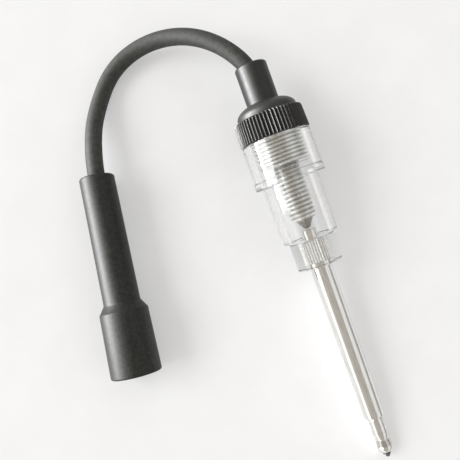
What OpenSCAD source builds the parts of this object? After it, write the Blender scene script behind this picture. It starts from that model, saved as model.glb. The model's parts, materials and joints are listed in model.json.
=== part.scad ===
// In-line ignition spark tester: a clear barrel with a bright probe at one end, a ribbed cap that
// screws the upper electrode up and down at the other, and a short high-tension lead with a plug boot.
// Everything on the tester turns about one axis. Stations along it are counted from the probe's tip.
// At rest the tester lies on the terminal nut and on the barrel's collar, so its axis tilts a little.

/* [Probe] */
// Diameter of the core rod, whose upper end is the lower electrode
core_d = 6.5; // [6:0.1:7]
// Outer diameter of the bright tube over the core rod
tube_d = 8.9; // [8.6:0.1:10]
// Length of the tube that shows below the barrel
tube_len = 65.6; // [40:0.1:90]
// Depth of the tube's seat in the barrel's hub
tube_seat = 1.8; // [1:0.1:3]
// Length of bare core rod between the tube and the terminal nut
core_bare = 6.6; // [4:0.1:12]
// Width of the relief groove where the core rod enters the tube
relief_len = 0.8; // [0.5:0.1:1.5]
// Depth of that groove
relief_depth = 0.3; // [0.2:0.05:0.5]
// Height of the lower electrode above the chamber's floor
electrode_h = 3.7; // [2:0.1:8]
// Diameter of the threaded stud in the core rod's end
stud_d = 3.4; // [3:0.1:4]
// Length of stud that stands out of the terminal nut
stud_out = 2.4; // [1.6:0.1:4]
// Depth of the stud in the core rod
stud_in = 8; // [4:0.5:12]

/* [Terminal nut] */
// Diameter of the nut
nut_d = 6.5; // [6.2:0.05:7]
// Length of the nut
nut_len = 8.6; // [7:0.1:12]
// Length of the nut's head, below the snap groove
head_len = 2.4; // [2.2:0.1:3.2]
// Width of the snap groove
groove_len = 3.3; // [2:0.1:4]
// Diameter of the snap groove's floor
groove_d = 6.1; // [5:0.1:6.2]

/* [Barrel] */
// Diameter of the solid hub that holds the probe
hub_d = 18.6; // [16:0.1:21]
// Length of the hub
hub_len = 11.8; // [8:0.1:18]
// Outer diameter of the chamber at the hub
chamber_low_d = 22.6; // [21.4:0.1:24]
// Outer diameter of the chamber at the collar
chamber_top_d = 23.2; // [22:0.1:25]
// Length of the chamber between hub and collar
chamber_len = 24.3; // [18:0.1:40]
// Bore of the chamber
chamber_bore = 16.3; // [14.5:0.1:17.5]
// Diameter of the collar
collar_d = 29.3; // [28.8:0.1:32]
// Length of the collar
collar_len = 3; // [2:0.1:5]
// Outer diameter of the threaded neck
neck_d = 28.4; // [26:0.1:28.6]
// Length of the neck
neck_len = 15.2; // [13.5:0.1:24]
// Bore of the neck at the bottom of its thread
thread_d = 22.2; // [20.5:0.1:23.5]
// Height of the bore's shoulder above the collar's lower face
shoulder_h = 1.5; // [1:0.1:2.2]

/* [Knurled insert] */
// Diameter of the insert over its flutes
insert_d = 8; // [7.8:0.1:8.6]
// Number of flutes
flute_count = 26; // [16:1:36]
// Depth of a flute
flute_depth = 0.3; // [0.15:0.05:0.35]

/* [Cap] */
// Diameter of the ribbed ring at its open edge
ring_low_d = 29; // [28.4:0.1:31]
// Diameter of the ribbed ring at its upper edge
ring_top_d = 28.3; // [27.6:0.1:30]
// Length of the ribbed ring
ring_len = 9.5; // [9:0.1:14]
// Number of ribs
rib_count = 58; // [30:1:72]
// Depth of the grooves between ribs
rib_depth = 0.6; // [0.3:0.05:0.9]
// Diameter of the dome where it leaves the ring
dome_d = 24.8; // [23:0.1:26]
// Height of the dome
dome_h = 5.2; // [4:0.1:8]

/* [Upper electrode] */
// Length of the threaded plug below the cap
plug_len = 12; // [9:0.1:13]
// Pitch of the plug's thread: the electrode's travel for one turn of the cap
plug_pitch = 1.5; // [1:0.05:2]
// Depth of the plug's thread
plug_thread_depth = 0.75; // [0.4:0.05:0.9]
// Diameter of the plug's shank in the cap
shank_d = 20; // [19:0.1:20.4]
// Length of the plug's shank in the cap
shank_len = 5.4; // [4:0.1:5.6]
// Diameter of the threaded post
post_d = 12; // [10:0.1:13]
// Pitch of the post's thread
post_pitch = 1.75; // [1.25:0.05:2.5]
// Depth of the post's thread
post_thread_depth = 0.8; // [0.4:0.05:0.9]
// Depth of the post in the plug
post_in = 8.2; // [5:0.1:8.6]
// Length of the post's tapered end
post_taper = 2.6; // [1:0.1:4]
// Diameter of the electrode tip at the post
tip_d = 7.2; // [6:0.1:8]
// Length of the tip's cone
tip_len = 4; // [3:0.1:6]
// Diameter of the tip's rounded end
tip_end_d = 3.2; // [2:0.1:4]
// Diameter of the tip's shank in the post
tip_shank_d = 4; // [3:0.1:5]
// Length of the tip's shank
tip_shank_len = 6; // [4:0.1:10]
// Gap between the electrodes with the cap screwed down
spark_gap = 0.4; // [0.3:0.05:1]

/* [Sleeve] */
// Diameter of the rubber sleeve
sleeve_d = 13.3; // [13:0.1:15]
// Length of the sleeve above the cap
sleeve_len = 15.9; // [12:0.1:24]
// Diameter of the flange that the cap traps
flange_d = 17.4; // [16.5:0.1:18]
// Thickness of that flange
flange_len = 2.6; // [1.5:0.1:2.8]
// Depth of the sleeve's flared mouth
flare_len = 9; // [7:0.1:11]
// Diameter of the crimped contact under the lead
contact_d = 5.6; // [5:0.1:6.5]
// Diameter of the contact's crimped barrel
crimp_d = 3.8; // [3.4:0.1:4.4]

/* [Lead] */
// Diameter of the high-tension lead
lead_d = 7; // [6.5:0.1:7.2]
// Diameter of its conductor
wire_d = 2; // [1:0.1:2.2]

/* [Boot] */
// Length of the plug boot
boot_len = 81; // [72:0.5:110]
// Diameter of the boot's mouth
boot_mouth_d = 20.3; // [19.6:0.1:24]
// Diameter of its wide part at the shoulder
boot_wide_d = 19.5; // [18:0.1:20.2]
// Length of the wide part
boot_wide_len = 26; // [20:0.1:34]
// Length of the sloping shoulder
boot_shoulder_len = 2.4; // [1.5:0.1:5]
// Diameter of the narrow part at the shoulder
boot_neck_d = 14.7; // [14.2:0.1:16]
// Diameter of the narrow part at the lead
boot_top_d = 14.2; // [13.6:0.1:15.5]
// Bore of the boot's mouth
mouth_bore_d = 14; // [12:0.1:15.5]
// Depth of the mouth's bore
mouth_bore_len = 24; // [16:0.1:25]
// Bore that grips a plug's insulator
grip_d = 10; // [9.6:0.1:10.1]
// Length of that bore
grip_len = 13; // [8:0.1:18]
// Inner diameter of the snap terminal's socket
socket_d = 6.7; // [6.6:0.05:7]
// Depth of the socket
socket_len = 12; // [9:0.1:15]
// Length of the terminal's crimped sleeve round the lead
boot_crimp_len = 10; // [7:0.1:14]
// Diameter of the snap ring's wire
snap_wire_d = 0.9; // [0.6:0.05:1]
// How far the boot's mouth lies behind the sleeve's mouth
boot_back = 100.5; // [90:0.1:110]
// How far the boot's mouth lies beside the tester
boot_side = 84; // [76:0.5:92]
// Turn of the boot towards the tester
boot_turn = 7.4; // [4:0.1:12]

/* [Fits] */
// Radial clearance of pieces that are pressed or moulded together
seat = 0.05; // [0.02:0.01:0.08]
// Clearance of pieces that turn or slide on each other
run = 0.2; // [0.1:0.05:0.3]
// Radial play of the plug's thread in the neck
thread_play = 0.3; // [0.2:0.05:0.5]
// Clearance round the lead
lead_play = 0.2; // [0.1:0.05:0.4]

/* [Hidden] */
$fn = 96;

// Stations from the probe's tip
nut_s = stud_out;
groove_s = nut_s + head_len;
core_s = nut_s + nut_len;
tube_s = core_s + core_bare;
hub_s = tube_s + tube_len;
insert_s = hub_s + tube_seat;
step_s = hub_s + hub_len;
floor_drop = 0.2;
floor_s = step_s - floor_drop;
electrode_s = floor_s + electrode_h;
collar_s = step_s + chamber_len;
neck_s = collar_s + collar_len;
rim_s = neck_s + neck_len;
thread_end_s = collar_s + shoulder_h;
ring_s = rim_s + thread_play;
plug_s = ring_s - plug_len;
post_s = electrode_s + spark_gap + tip_len;
dome_s = ring_s + ring_len;
pocket_s = ring_s + shank_len;
pocket_len = flange_len + 2*run;
flange_s = pocket_s + run;
sleeve_base_s = dome_s + dome_h;
sleeve_s = sleeve_base_s + sleeve_len;

// Edge rounds, chamfers and walls
edge = 0.4;
corner = 0.8;
lip = 1;
nose_len = 1.8;
stud_end_d = 1.6;
stud_cone = 1.4;
fillet = 0.9;
dome_land = 0.8;
dome_reach = 9.4;
crest_share = 0.3;
flute_share = 0.5;
thread_flat = 0.16;
socket_floor = 4;
contact_len = 2.2;
contact_gap = 0.3;
wire_in = 5;
terminal_wall = 1.1;
terminal_web = 2;
snap_open = 60;
snap_grip = 0.15;
snap_from_mouth = 4;

// Radii and lengths that follow from the sizes above
core_hole = core_d/2 + seat;
stud_hole = stud_d/2 + seat;
plug_d = thread_d - 2*thread_play;
post_hole = post_d/2 + seat;
post_top_s = plug_s + post_in;
shank_hole = shank_d/2 + seat;
sleeve_hole = sleeve_d/2 + run;
flange_hole = flange_d/2 + run;
contact_hole = contact_d/2 + run;
contact_floor_s = post_top_s + socket_floor;
contact_s = contact_floor_s + contact_gap;
jacket_s = flange_s + flange_len + corner;
lead_hole = lead_d/2 + lead_play;
lead_aside = 1.5;
flare_d = 2*(lead_aside + lead_d/2 + 2*lead_play);
socket_wall_d = socket_d + 2*terminal_wall;
crimp_hole = lead_d/2 + lead_play/2;
terminal_d = max(socket_wall_d, 2*crimp_hole + 2*terminal_wall);
pocket_d = terminal_d + 2*seat;
terminal_u = mouth_bore_len + grip_len;
terminal_web_u = terminal_u + socket_len;
terminal_crimp_u = terminal_web_u + terminal_web;
terminal_end_u = terminal_crimp_u + boot_crimp_len;
boot_jacket_u = terminal_crimp_u + wire_in;

// How the tester lies: on the nut's head and on the collar's lower edge
rest_nut_s = nut_s + nose_len;
rest_collar_s = collar_s + edge;
tilt = atan((collar_d - nut_d)/2/(rest_collar_s - rest_nut_s));
rest_z = nut_d/2*cos(tilt) - rest_nut_s*sin(tilt);
low_x = -stud_end_d/2*sin(tilt);
high_x = (sleeve_s - lip)*cos(tilt) + (sleeve_d/2 - lip)*sin(tilt) + lip;
middle_x = (low_x + high_x)/2;
mouth_x = sleeve_s*cos(tilt) - middle_x;
boot_x = mouth_x - boot_back;
boot_z = boot_mouth_d/2;

// The lead's free route, from the sleeve's mouth to the boot: distance past the mouth, side and height
lead_route = [[0, 1.5, 19.5], [6, 4.4, 19.6], [12, 8.6, 18.8], [17.8, 14.2, 17], [22.6, 20.8, 14.2],
    [25.8, 28, 11], [27.2, 35.6, 8], [26.6, 43.2, 5.6], [24, 50.2, 4.2], [19.6, 56.2, 3.6], [13.8, 61, 4],
    [7.5, 64.9, 5.4], [0.7, 68.1, 7.3], [-6.3, 70.4, 9], [-13.3, 72.2, 9.9]];
lead_sides = 12;

// Points of an elliptic arc about [x, y] from angle a to angle b
function arc(x, y, rx, ry, a, b, n = 5) =
    [for (i = [0:n]) [x + rx*cos(a + (b - a)*i/n), y + ry*sin(a + (b - a)*i/n)]];

// Profile of a thread as rings: crests at radius r, and one groove for each whole pitch between two stations
function thread_rings(r, depth, pitch, from, to) =
    let (flat = pitch*thread_flat/2, half = pitch/2, count = floor((to - from)/pitch))
    [for (i = [0:count - 1], p = [[0, flat], [depth, half - flat], [depth, half + flat], [0, pitch - flat]])
        [r - p[0], from + i*pitch + p[1]]];

// A point on the tester's axis at station s, and one on the boot's axis at a distance from its mouth
function axis_point(s) = [s*cos(tilt) - middle_x, 0, rest_z + s*sin(tilt)];
function boot_point(u) = [boot_x + u*cos(boot_turn), boot_side - u*sin(boot_turn), boot_z];

// Direction of a route at its point i
function unit(v) = v/norm(v);
function heading(route, i) = unit(route[min(i + 1, len(route) - 1)] - route[max(i - 1, 0)]);

// A ring of points square to direction d about point p
function ring_at(p, d, r, sides) =
    let (side = unit(cross([0, 0, 1], d)), up = cross(d, side))
    [for (k = [0:sides - 1]) p + r*cos(360*k/sides)*side + r*sin(360*k/sides)*up];

// A closed tube of triangles along a route
module tube(route, r, sides) {
    n = len(route);
    points = [for (i = [0:n - 1]) each ring_at(route[i], heading(route, i), r, sides)];
    walls = [for (i = [0:n - 2], k = [0:sides - 1])
        let (a = i*sides + k, b = i*sides + (k + 1)%sides)
        each [[a, a + sides, b], [b, a + sides, b + sides]]];
    start = [for (k = [1:sides - 2]) [0, k, k + 1]];
    last = (n - 1)*sides;
    end = [for (k = [1:sides - 2]) [last, last + k + 1, last + k]];
    polyhedron(points, concat(start, walls, end));
}

// A solid of revolution from a profile of [radius, station] points
module revolved(profile) {
    rotate_extrude() polygon(profile);
}

// Lays a piece made about +Z on the tester's axis, or on the boot's
module on_tester() {
    translate([-middle_x, 0, rest_z]) rotate([0, 90 - tilt, 0]) children();
}
module on_boot() {
    translate([boot_x, boot_side, boot_z]) rotate([0, 90, -boot_turn]) children();
}

// Outline of a round bar with flat-bottomed grooves
module grooved_outline(crest_d, groove_d, count, share) {
    steps = [0, (1 - share)*0.8, 1 - share, 1 - share*0.2];
    radii = [groove_d/2, groove_d/2, crest_d/2, crest_d/2];
    polygon([for (i = [0:count - 1], k = [0:3])
        let (a = 360*(i + steps[k])/count) radii[k]*[cos(a), sin(a)]]);
}

// Clear moulded barrel: solid hub, chamber, collar and threaded neck in one piece
module clear_barrel() {
    tube_hole = tube_d/2 + seat;
    insert_hole = insert_d/2 + seat;
    outside = concat(
        [[tube_hole, hub_s]],
        arc(hub_d/2 - corner, hub_s + corner, corner, corner, -90, 0),
        arc(hub_d/2 + fillet, step_s - fillet, fillet, fillet, 180, 90),
        arc(chamber_low_d/2 - corner, step_s + corner, corner, corner, -90, 0),
        [[chamber_top_d/2, collar_s]],
        arc(collar_d/2 - edge, collar_s + edge, edge, edge, -90, 0),
        arc(collar_d/2 - edge, neck_s - edge, edge, edge, 0, 90),
        [[neck_d/2, neck_s]],
        arc(neck_d/2 - edge, rim_s - edge, edge, edge, 0, 90));
    inside = concat(
        [[thread_d/2 + edge, rim_s], [thread_d/2, rim_s - edge], [thread_d/2, thread_end_s]],
        [[chamber_bore/2, thread_end_s]],
        arc(chamber_bore/2 - corner, floor_s + corner, corner, corner, 0, -90),
        [[insert_hole, floor_s], [insert_hole, insert_s], [tube_hole, insert_s]]);
    color("whitesmoke", 0.4) on_tester() revolved(concat(outside, inside));
}

// Fluted metal insert that the hub is moulded round
module knurled_insert() {
    insert_len = floor_s - insert_s;
    color("silver") on_tester() translate([0, 0, insert_s]) difference() {
        linear_extrude(insert_len)
            grooved_outline(insert_d, insert_d - 2*flute_depth, flute_count, flute_share);
        translate([0, 0, -1]) cylinder(h = insert_len + 2, d = 2*core_hole);
    }
}

// Core rod: bare end with a relief groove at the bottom, lower electrode at the top
module core_rod() {
    stud_end = core_s + stud_in + seat;
    relief_r = core_d/2 - relief_depth;
    color("gainsboro") on_tester() revolved([
        [stud_hole, core_s], [core_d/2, core_s], [core_d/2, tube_s - relief_len],
        [relief_r, tube_s - relief_len], [relief_r, tube_s], [core_d/2, tube_s],
        [core_d/2, electrode_s - edge], [core_d/2 - edge, electrode_s], [0, electrode_s],
        [0, stud_end], [stud_hole, stud_end]]);
}

// Bright tube over the core rod, seated in the hub
module probe_tube() {
    top = insert_s - seat;
    color("lightgray") on_tester() revolved([
        [core_hole, tube_s], [tube_d/2 - edge, tube_s], [tube_d/2, tube_s + edge],
        [tube_d/2, top], [core_hole, top]]);
}

// Threaded stud that holds the terminal nut
module terminal_stud() {
    color("dimgray") on_tester() revolved([
        [0, 0], [stud_end_d/2, 0], [stud_d/2, stud_cone],
        [stud_d/2, core_s + stud_in], [0, core_s + stud_in]]);
}

// Terminal nut: rounded nose, snap groove and skirt
module terminal_nut() {
    nose_d = stud_d + 2*edge;
    top = core_s - seat;
    groove_end = groove_s + groove_len;
    color("gainsboro") on_tester() revolved(concat(
        [[stud_hole, nut_s]],
        arc(nose_d/2, nut_s + nose_len, (nut_d - nose_d)/2, nose_len, -90, 0),
        [[nut_d/2, groove_s], [groove_d/2, groove_s + edge], [groove_d/2, groove_end - edge],
            [nut_d/2, groove_end], [nut_d/2, top], [stud_hole, top]]));
}

// Cap: ribbed ring and dome, hollow for the plug's shank and the sleeve's flange
module knurled_cap() {
    dome_low = dome_s - ring_len/2;
    groove = ring_top_d - 2*rib_depth;
    dome_x = dome_d/2 - dome_reach;
    dome_end = acos((sleeve_hole - dome_x)/dome_reach);
    dome_rise = (dome_h - dome_land)/sin(dome_end);
    pocket_end = pocket_s + pocket_len;
    color([0.2, 0.21, 0.2]) on_tester() difference() {
        union() {
            intersection() {
                translate([0, 0, ring_s]) linear_extrude(ring_len)
                    grooved_outline(ring_low_d + 2, groove, rib_count, crest_share);
                revolved(concat(
                    [[0, ring_s], [ring_low_d/2, ring_s]],
                    arc(ring_top_d/2 - lip, dome_s - lip, lip, lip, 0, 90),
                    [[0, dome_s]]));
            }
            revolved(concat(
                [[0, dome_low], [dome_d/2, dome_low]],
                arc(dome_x, dome_s + dome_land, dome_reach, dome_rise, 0, dome_end, 12),
                [[0, sleeve_base_s]]));
        }
        revolved([
            [0, ring_s - 1], [shank_hole, ring_s - 1], [shank_hole, pocket_s], [flange_hole, pocket_s],
            [flange_hole, pocket_end], [sleeve_hole, pocket_end], [sleeve_hole, sleeve_base_s + 1],
            [0, sleeve_base_s + 1]]);
    }
}

// Threaded plug: screws in the neck, carries the cap on its shank and the post in its middle
module threaded_plug() {
    color("silver") on_tester() revolved(concat(
        [[post_hole, plug_s], [plug_d/2 - corner, plug_s], [plug_d/2, plug_s + corner]],
        thread_rings(plug_d/2, plug_thread_depth, plug_pitch, plug_s + corner, ring_s),
        [[plug_d/2, ring_s], [shank_d/2, ring_s], [shank_d/2, pocket_s], [contact_hole, pocket_s],
            [contact_hole, contact_floor_s], [0, contact_floor_s], [0, post_top_s + seat],
            [post_hole, post_top_s + seat]]));
}

// Threaded post with a tapered end
module electrode_post() {
    tip_hole = tip_shank_d/2 + seat;
    hole_end = post_s + tip_shank_len + seat;
    low_r = tip_d/2 + corner;
    thread_s = post_s + post_taper;
    color("silver") on_tester() revolved(concat(
        [[tip_hole, post_s], [low_r, post_s], [post_d/2, thread_s]],
        thread_rings(post_d/2, post_thread_depth, post_pitch, thread_s, plug_s),
        [[post_d/2, post_top_s], [0, post_top_s], [0, hole_end], [tip_hole, hole_end]]));
}

// Dark cone that sparks to the lower electrode
module electrode_tip() {
    tip_s = post_s - tip_len;
    top = post_s + tip_shank_len;
    round_h = tip_end_d/4;
    color("dimgray") on_tester() revolved(concat(
        arc(0, tip_s + round_h, tip_end_d/2, round_h, -90, 0),
        [[tip_d/2, post_s - seat], [tip_shank_d/2, post_s - seat], [tip_shank_d/2, top], [0, top]]));
}

// Rubber sleeve on the lead, trapped in the cap by its flange so that the cap turns round it
module cap_sleeve() {
    barrel_hole = crimp_d/2 + seat;
    flange_end = flange_s + flange_len;
    color([0.16, 0.17, 0.16]) on_tester() revolved(concat(
        [[barrel_hole, flange_s], [flange_d/2, flange_s], [flange_d/2, flange_end], [sleeve_d/2, flange_end]],
        arc(sleeve_d/2 - lip, sleeve_s - lip, lip, lip, 0, 90),
        [[flare_d/2, sleeve_s], [lead_hole, sleeve_s - flare_len], [lead_hole, jacket_s],
            [barrel_hole, jacket_s]]));
}

// Crimped contact on the lead's end, which turns in the plug's socket
module swivel_contact() {
    wire_hole = wire_d/2 + seat;
    button_end = contact_s + contact_len;
    top = jacket_s - seat;
    color("goldenrod") on_tester() revolved(concat(
        arc(0, contact_s + corner, contact_d/2, corner, -90, 0),
        [[contact_d/2, button_end], [crimp_d/2, button_end], [crimp_d/2, top], [wire_hole, top],
            [wire_hole, button_end], [0, button_end]]));
}

// High-tension lead: straight in the sleeve, round the free loop and straight into the boot
module lead() {
    sleeve_stations = [jacket_s + seat, sleeve_s - 2*flare_len + lip, sleeve_s - flare_len + lip/2];
    in_sleeve = [for (s = sleeve_stations) axis_point(s)];
    loop = [for (p = lead_route) p + [mouth_x, 0, 0]];
    in_boot = [for (u = [boot_len - lip, (boot_len + boot_jacket_u)/2, boot_jacket_u]) boot_point(u)];
    color([0.24, 0.25, 0.24]) tube(concat(in_sleeve, loop, in_boot), lead_d/2, lead_sides);
}

// The lead's stripped wire, in the crimped contact and in the boot's terminal
module lead_wire() {
    wire_s = contact_s + contact_len + seat;
    wire_u = terminal_crimp_u + seat;
    color("peru") {
        on_tester() translate([0, 0, wire_s]) cylinder(h = jacket_s - wire_s, d = wire_d);
        on_boot() translate([0, 0, wire_u]) cylinder(h = boot_jacket_u - wire_u - seat, d = wire_d);
    }
}

// Straight rubber plug boot: wide mouth, sloping shoulder and narrow part round the lead
module plug_boot() {
    shoulder_u = boot_wide_len + boot_shoulder_len;
    color([0.25, 0.26, 0.25]) on_boot() revolved(concat(
        [[mouth_bore_d/2 + edge, 0]],
        arc(boot_mouth_d/2 - corner, corner, corner, corner, -90, 0),
        arc(boot_wide_d/2 - corner, boot_wide_len - corner, corner, corner, 0, 60),
        [[boot_neck_d/2 + edge, shoulder_u], [boot_neck_d/2, shoulder_u + lip]],
        arc(boot_top_d/2 - lip, boot_len - lip, lip, lip, 0, 90),
        [[lead_hole, boot_len], [lead_hole, terminal_end_u + seat], [pocket_d/2, terminal_end_u + seat],
            [pocket_d/2, terminal_u], [grip_d/2, terminal_u], [grip_d/2, mouth_bore_len],
            [mouth_bore_d/2, mouth_bore_len - lip], [mouth_bore_d/2, edge]]));
}

// Snap terminal: socket with a spring groove, web and a sleeve crimped round the lead
module boot_terminal() {
    snap_u = terminal_u + snap_from_mouth;
    snap_half = snap_wire_d/2 + seat;
    snap_r = socket_d/2 + snap_wire_d - snap_grip + seat;
    socket_u = terminal_u + seat;
    color("darkkhaki") on_boot() revolved([
        [socket_d/2 + edge, socket_u], [terminal_d/2, socket_u], [terminal_d/2, terminal_end_u],
        [crimp_hole, terminal_end_u], [crimp_hole, terminal_crimp_u], [0, terminal_crimp_u],
        [0, terminal_web_u], [socket_d/2, terminal_web_u], [socket_d/2, snap_u + snap_half],
        [snap_r, snap_u + snap_half], [snap_r, snap_u - snap_half], [socket_d/2, snap_u - snap_half],
        [socket_d/2, socket_u + edge]]);
}

// Open spring ring that grips a plug's terminal
module snap_ring() {
    color("silver") on_boot() translate([0, 0, terminal_u + snap_from_mouth]) rotate(snap_open/2)
        rotate_extrude(angle = 360 - snap_open)
            translate([socket_d/2 + snap_wire_d/2 - snap_grip, 0]) circle(d = snap_wire_d, $fn = 24);
}

clear_barrel();
knurled_insert();
core_rod();
probe_tube();
terminal_stud();
terminal_nut();
knurled_cap();
threaded_plug();
electrode_post();
electrode_tip();
cap_sleeve();
swivel_contact();
lead();
lead_wire();
plug_boot();
boot_terminal();
snap_ring();
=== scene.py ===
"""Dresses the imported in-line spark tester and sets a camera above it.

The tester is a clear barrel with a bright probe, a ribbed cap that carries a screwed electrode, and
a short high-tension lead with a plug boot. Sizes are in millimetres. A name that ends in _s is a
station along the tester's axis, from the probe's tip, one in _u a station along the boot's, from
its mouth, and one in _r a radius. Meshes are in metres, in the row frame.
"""
import json
import logging
import math
from dataclasses import dataclass, field
from enum import Enum, IntEnum

import bmesh
import bpy
import numpy as np
from mathutils import Matrix, Vector


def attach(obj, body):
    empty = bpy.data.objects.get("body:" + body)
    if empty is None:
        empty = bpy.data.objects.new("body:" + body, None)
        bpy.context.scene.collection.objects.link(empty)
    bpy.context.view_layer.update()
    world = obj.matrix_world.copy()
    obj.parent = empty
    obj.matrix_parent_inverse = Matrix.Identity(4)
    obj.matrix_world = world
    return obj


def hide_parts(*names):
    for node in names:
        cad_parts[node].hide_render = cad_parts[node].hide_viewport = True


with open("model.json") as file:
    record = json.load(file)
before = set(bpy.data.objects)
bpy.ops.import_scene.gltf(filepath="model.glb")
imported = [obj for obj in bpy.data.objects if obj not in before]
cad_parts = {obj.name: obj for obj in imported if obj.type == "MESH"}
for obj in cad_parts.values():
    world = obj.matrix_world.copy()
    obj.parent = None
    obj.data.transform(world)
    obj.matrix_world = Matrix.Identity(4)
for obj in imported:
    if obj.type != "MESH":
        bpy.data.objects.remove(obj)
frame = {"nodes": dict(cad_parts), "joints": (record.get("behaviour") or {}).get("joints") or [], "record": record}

LOG = logging.getLogger("spark_tester")
MM = 0.001
TURN = 2 * math.pi
UP = (0.0, 0.0, 1.0)
WHITE = (1.0, 1.0, 1.0)
# Points of a mesh that are closer than this, in metres, become one.
WELD = 1e-7
# Attribute that tells a finish where its second tone goes.
# That tone is painted shade in thread roots and flute dips, a painted dark reflection in the nut's groove, and the
# cap dome's lighter satin tone.
SHADE = "shade"
# A noise's finer layers, and the middle of its range, which tone and roughness are spread over.
NOISE_LAYERS = 3.0
NOISE_MIDDLE = {"From Min": 0.35, "From Max": 0.65}
# Roughness changes in patches this many times smaller than the tone's.
FINER = 3
# Sizes that the probe and the barrel share, and the station of the mount in the boot's mouth.
CORE_R = 3.25
INSERT_S = 85.0
BOOT_MOUNT_U = 11.5
Colour = tuple[float, float, float]
Place = tuple[float, float, float]
Socket = bpy.types.NodeSocket


class Body(Enum):
    """The bodies that pieces ride on."""

    BARREL = "barrel"
    CAP = "cap"
    LEAD_END = "lead_end"


class Slot(Enum):
    """The record's material slots."""

    BRIGHT_STEEL = "bright_steel"
    NICKEL = "nickel"
    DARK_STEEL = "dark_steel"
    CLEAR_PLASTIC = "clear_plastic"
    BLACK_PLASTIC = "black_plastic"
    LEAD_RUBBER = "lead_rubber"
    BOOT_RUBBER = "boot_rubber"
    SLEEVE_RUBBER = "sleeve_rubber"


def unit(vector: np.ndarray) -> np.ndarray:
    """Returns the vector, or each row of vectors, at length 1."""
    return vector / np.linalg.norm(vector, axis=-1, keepdims=True)


def even_angles(columns: int) -> np.ndarray:
    """Returns evenly spaced angles of one turn, starting below the piece."""
    return -0.5 * math.pi + TURN * np.arange(columns) / columns


def arc(
    r: float, s: float, reach_r: float, reach_s: float, start: float, end: float, steps: int = 6
) -> np.ndarray:
    """Works out an elliptic arc of a profile: centre plus reach times (cos, sin) of even angles.

    Args:
        r: Radius of the arc's centre.
        s: Station of the arc's centre.
        reach_r: Half axis across.
        reach_s: Half axis along.
        start: First angle in degrees, 0 pointing away from the axis and 90 up along it.
        end: Last angle in degrees.
        steps: Number of pieces.

    Returns:
        Rows of (radius, station).
    """
    angle = np.radians(np.linspace(start, end, steps + 1))
    return np.column_stack([r + reach_r * np.cos(angle), s + reach_s * np.sin(angle)])


def low_edge(r: float, s: float, edge: float, steps: int = 6) -> np.ndarray:
    """Rounds the edge from an end face at station s to the side at radius r above it."""
    return arc(r - edge, s + edge, edge, edge, -90, 0, steps)


def top_edge(r: float, s: float, edge: float, steps: int = 6, end: float = 90) -> np.ndarray:
    """Rounds the edge from a side at radius r to the end face at station s above it."""
    return arc(r - edge, s - edge, edge, edge, 0, end, steps)


def outline(*parts: list | np.ndarray) -> np.ndarray:
    """Joins points and arcs into one profile of (radius, station) rows."""
    return np.vstack([np.asarray(part, float).reshape(-1, 2) for part in parts])


def stack_rows(*parts: np.ndarray) -> np.ndarray:
    """Stacks rows of one value, the same all round, and rows with a value for each angle."""
    columns = max(part.shape[1] for part in parts)
    return np.vstack([np.broadcast_to(part, (len(part), columns)) for part in parts])


def smooth_line(points: np.ndarray, count: int) -> np.ndarray:
    """Draws the natural cubic spline through points, by their chord length.

    With h the chord lengths, the second derivatives m are zero at the ends, and at each inner point
    they solve h0*m0 + 2*(h0 + h1)*m1 + h1*m2 = 6*(slope1 - slope0).

    Args:
        points: Rows of points to pass.
        count: Number of points to draw.

    Returns:
        Evenly spread points of the spline.
    """
    last = len(points) - 1
    chord = np.diff(points, axis=0)
    h = np.linalg.norm(chord, axis=1)
    knots = np.concatenate([[0.0], np.cumsum(h)])
    inner = np.arange(1, last)
    system = np.eye(last + 1)
    system[inner, inner - 1] = h[:-1]
    system[inner, inner] = 2 * (h[:-1] + h[1:])
    system[inner, inner + 1] = h[1:]
    bend = np.zeros_like(points)
    bend[inner] = 6 * np.diff(chord / h[:, None], axis=0)
    m = np.linalg.solve(system, bend)
    reach = np.linspace(0.0, knots[-1], count)
    i = np.clip(np.searchsorted(knots, reach, side="right") - 1, 0, last - 1)
    span = h[i][:, None]
    done = (reach - knots[i])[:, None]
    left = (knots[i + 1] - reach)[:, None]
    cubic = (m[i] * left**3 + m[i + 1] * done**3) / (6 * span)
    start = (points[i] / span - m[i] * span / 6) * left
    end = (points[i + 1] / span - m[i + 1] * span / 6) * done
    return cubic + start + end


@dataclass(frozen=True)
class Axis:
    """A straight axis in the row frame.

    Attributes:
        origin: Its point at station 0, in metres.
        along: Direction of rising stations.
        side: Level direction square to the axis.
        up: Direction square to both. Side, up and along are right-handed and have length 1.
    """

    origin: np.ndarray
    along: np.ndarray
    side: np.ndarray
    up: np.ndarray

    @classmethod
    def through(cls, point: np.ndarray, along: np.ndarray, station: float) -> "Axis":
        """Makes the axis that passes a known point.

        Args:
            point: A point of the row frame, in metres.
            along: Direction of rising stations.
            station: The point's station.

        Returns:
            The axis.
        """
        along = unit(np.asarray(along, float))
        side = unit(np.cross(UP, along))
        origin = np.asarray(point, float) - station * MM * along
        return cls(origin, along, side, np.cross(along, side))

    def point(self, station: float) -> np.ndarray:
        """Returns the row-frame point at a station."""
        return self.origin + station * MM * self.along

    def surface(self, radius: np.ndarray, station: np.ndarray, angle: np.ndarray) -> np.ndarray:
        """Places a surface given in cylinder coordinates.

        A point is origin + station * along + radius * (cos(angle) * side + sin(angle) * up).

        Args:
            radius: Radii, one row for each station, with one column or one for each angle.
            station: Stations, one for each row.
            angle: Angles in radians, one for each column.

        Returns:
            Points as rows x columns x 3, in metres.
        """
        across = np.cos(angle)[:, None] * self.side + np.sin(angle)[:, None] * self.up
        reach = np.broadcast_to(radius, (len(station), len(angle)))
        return self.origin + MM * (station[:, None, None] * self.along + reach[:, :, None] * across)

    def lathe(self, profile: np.ndarray, columns: int = 128) -> np.ndarray:
        """Turns a profile of (radius, station) rows about the axis into a grid of points."""
        return self.surface(profile[:, :1], profile[:, 1], even_angles(columns))


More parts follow.
